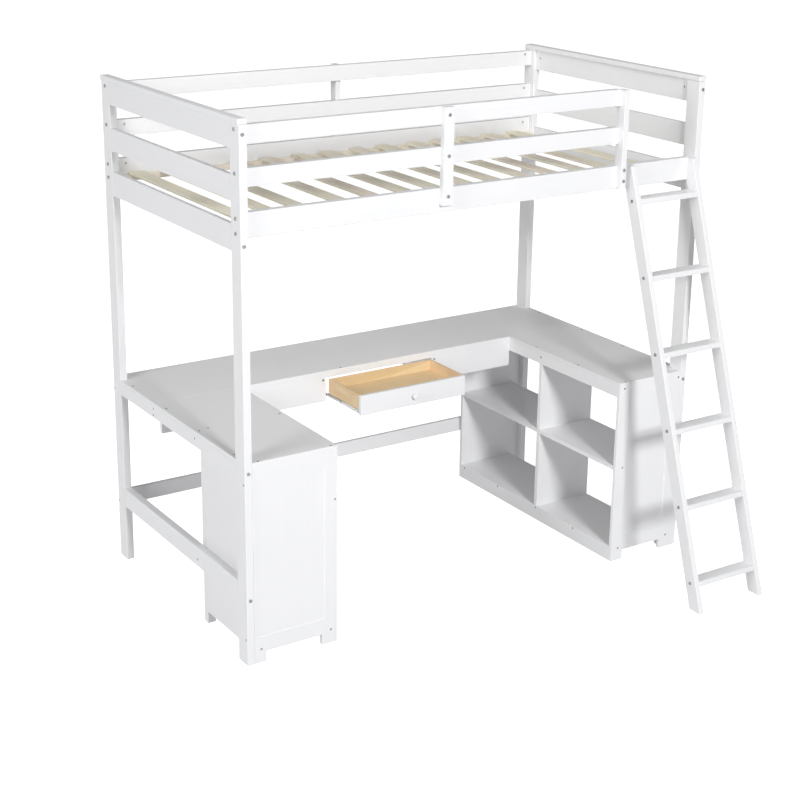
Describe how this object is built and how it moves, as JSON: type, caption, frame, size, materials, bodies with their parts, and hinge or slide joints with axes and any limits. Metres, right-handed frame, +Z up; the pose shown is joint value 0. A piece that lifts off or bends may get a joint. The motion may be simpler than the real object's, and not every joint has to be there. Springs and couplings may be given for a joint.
{
  "type": "loft bed with desk",
  "caption": "Loft bed on two post-and-rail end frames, with a slanted ladder, a U-shaped desk, a drawer, a cabinet and an open bookcase below.",
  "frame": {"origin": "on the floor, at the middle of the whole object's bounding box", "axes": "+X along the bed from the cabinet end to the ladder end, +Y from the ladder side to the back, +Z up"},
  "size_m": [1.998, 1.6582, 1.932],
  "materials": {
    "white_paint": "satin white paint",
    "bare_pine": "bare planed pine",
    "bolt_steel": "darkened steel",
    "zinc_steel": "zinc plated"
  },
  "bodies": {
    "bed": {"barrel_nuts": "zinc_steel", "bed_bolts": "bolt_steel", "bookcase_base": "white_paint", "bookcase_blocks": "white_paint", "bookcase_divider": "white_paint", "bookcase_front": "white_paint", "bookcase_rear": "white_paint", "bookcase_shelves": "white_paint", "cabinet_back": "white_paint", "cabinet_bottom": "white_paint", "cabinet_front": "white_paint", "cabinet_legs": "white_paint", "cabinet_shelf": "white_paint", "cabinet_side": "white_paint", "crossboard": "white_paint", "desk_top_left": "white_paint", "desk_top_rear": "white_paint", "desk_top_right": "white_paint", "door_magnet": "zinc_steel", "drawer_carriers": "white_paint", "end_caps": "white_paint", "entry_guard_post": "white_paint", "front_guard_post": "white_paint", "front_guard_rails": "white_paint", "front_side_rail": "white_paint", "hinge_leaves_fixed": "zinc_steel", "ladder_left_stringer": "white_paint", "ladder_right_stringer": "white_paint", "ladder_rungs": "white_paint", "left_apron": "white_paint", "left_end_rails": "white_paint", "left_inner_aprons": "white_paint", "left_stretcher": "white_paint", "post_left_front": "white_paint", "post_left_rear": "white_paint", "post_right_front": "white_paint", "post_right_rear": "white_paint", "rear_apron": "white_paint", "rear_guard_post": "white_paint", "rear_guard_rails": "white_paint", "rear_side_rail": "white_paint", "rear_stretcher": "white_paint", "right_apron": "white_paint", "right_end_rails": "white_paint", "right_inner_apron": "white_paint", "runners_fixed": "zinc_steel", "slat_ledgers": "bare_pine", "slats": "bare_pine", "wood_screws": "bolt_steel"},
    "drawer": {"drawer_front": "white_paint", "drawer_sides": "bare_pine", "drawer_back": "bare_pine", "drawer_bottom": "bare_pine", "drawer_knob": "white_paint", "runners_drawer": "zinc_steel"},
    "runner_middle": {"runners_middle": "zinc_steel"},
    "cabinet_door": {"cabinet_door": "white_paint", "door_knob": "white_paint", "hinge_leaves_door": "zinc_steel"}
  },
  "joints": [
    {"name": "drawer_slide", "type": "slide", "parent": "bed", "child": "drawer", "axis": [0, 1, 0], "range_m": [0, 0.252]},
    {"name": "runner_middle_slide", "type": "slide", "parent": "bed", "child": "runner_middle", "axis": [0, 1, 0], "range_m": [0, 0.126]},
    {"name": "door_hinge", "type": "hinge", "parent": "bed", "child": "cabinet_door", "pos_m": [-0.626, 0.0736, 0.38], "axis": [0, 0, 1], "range_deg": [0, 100]}
  ],
  "couplings": [
    {"joint": "runner_middle_slide", "follows": "drawer_slide", "ratio": 0.5}
  ]
}
